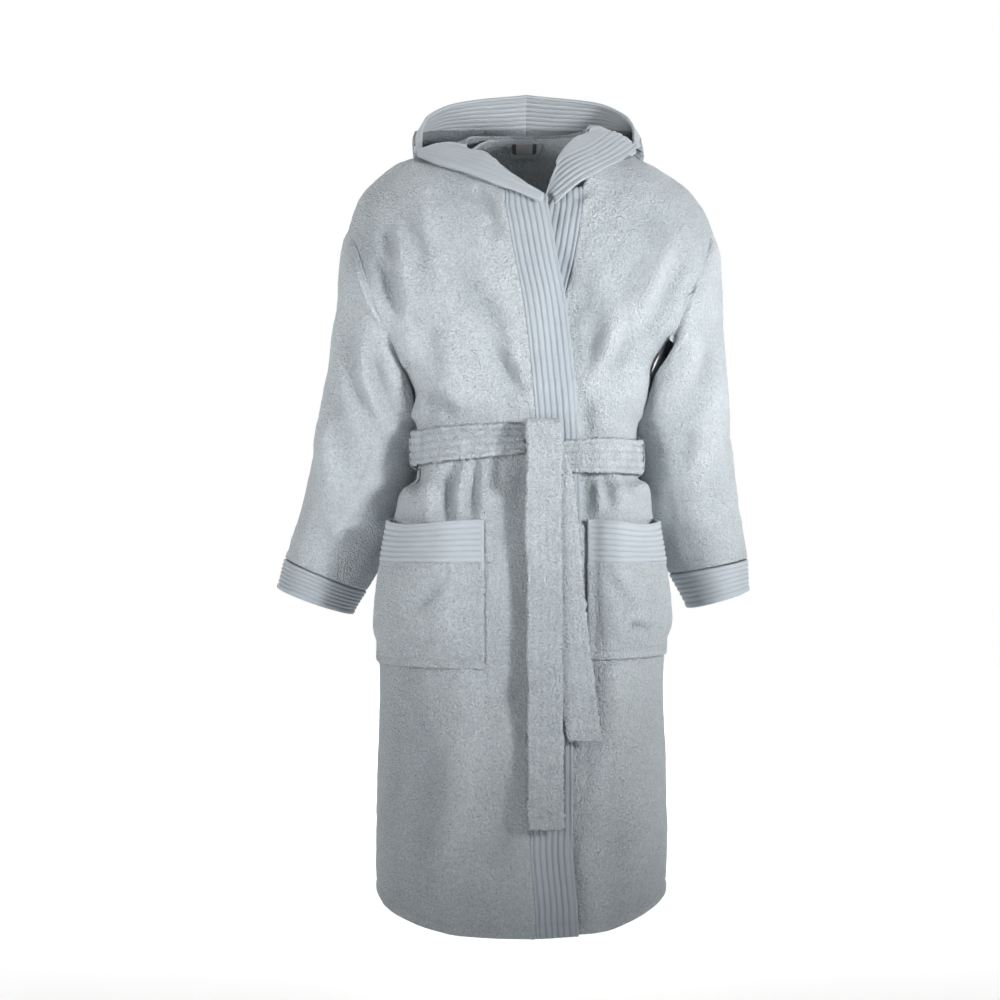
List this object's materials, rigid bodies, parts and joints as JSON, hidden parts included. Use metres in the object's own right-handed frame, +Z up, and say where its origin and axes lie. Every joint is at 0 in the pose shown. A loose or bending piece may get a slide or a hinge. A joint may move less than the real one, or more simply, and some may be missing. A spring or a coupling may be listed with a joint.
{
  "type": "hooded bathrobe",
  "caption": "Knee-length hooded terry bathrobe, wrapped and tied with its own belt, with ribbed front bands and cuffs, patch pockets and the hood lying back.",
  "frame": {"origin": "middle of the neck at the height where the wearer's shoulders carry the robe", "axes": "+Z up, -Y to the front where the robe wraps, +X to the wearer's left"},
  "size_m": [0.7199, 0.3923, 1.2578],
  "materials": {
    "terry": "looped terry pile, matt",
    "ribbed": "stitched lengthwise into raised ribs, matt",
    "label": "smooth woven tape, plain"
  },
  "bodies": {
    "robe": {"back_panel": "terry", "hem_back": "terry", "hem_right": "terry", "hem_left": "terry", "front_panel_right": "terry", "front_band_right": "ribbed", "pocket_right": "terry", "pocket_border_right": "ribbed", "hood_front_right": "ribbed", "belt_loop_right": "terry", "front_panel_left": "terry", "front_band_left": "ribbed", "pocket_left": "terry", "pocket_border_left": "ribbed", "hood_front_left": "ribbed", "belt_loop_left": "terry", "belt_wrap": "terry", "belt_knot": "terry", "neck_label": "label", "neck_tape": "ribbed"},
    "sleeve_of_right_arm": {"sleeve_right": "terry", "cuff_right": "ribbed"},
    "sleeve_of_left_arm": {"sleeve_left": "terry", "cuff_left": "ribbed"},
    "hood": {"hood_half_right": "terry", "hood_half_left": "terry", "hood_band_right": "ribbed", "hood_band_left": "ribbed"},
    "belt_end_long": {"belt_tail_long": "terry"},
    "belt_end_short": {"belt_tail_short": "terry"},
    "hanging_loop": {"hanger_loop": "terry"}
  },
  "joints": [
    {"name": "right_sleeve_raise", "type": "hinge", "parent": "robe", "child": "sleeve_of_right_arm", "pos_m": [-0.262, 0, -0.105], "axis": [0, 1, 0], "range_deg": [0, 40]},
    {"name": "left_sleeve_raise", "type": "hinge", "parent": "robe", "child": "sleeve_of_left_arm", "pos_m": [0.279, 0, -0.105], "axis": [0, -1, 0], "range_deg": [0, 40]},
    {"name": "hood_lift", "type": "hinge", "parent": "robe", "child": "hood", "pos_m": [0.004, -0.01, 0.052], "axis": [1, 0, 0], "range_deg": [0, 45]},
    {"name": "long_end_swing", "type": "hinge", "parent": "robe", "child": "belt_end_long", "pos_m": [0.024, -0.166, -0.475], "axis": [-1, 0, 0], "range_deg": [0, 70]},
    {"name": "short_end_swing", "type": "hinge", "parent": "robe", "child": "belt_end_short", "pos_m": [0.04, -0.159, -0.474], "axis": [0, -1, 0], "range_deg": [0, 35]},
    {"name": "hanging_loop_swing", "type": "hinge", "parent": "robe", "child": "hanging_loop", "pos_m": [0, 0.0735, 0.04], "axis": [-1, 0, 0], "range_deg": [0, 60]}
  ]
}
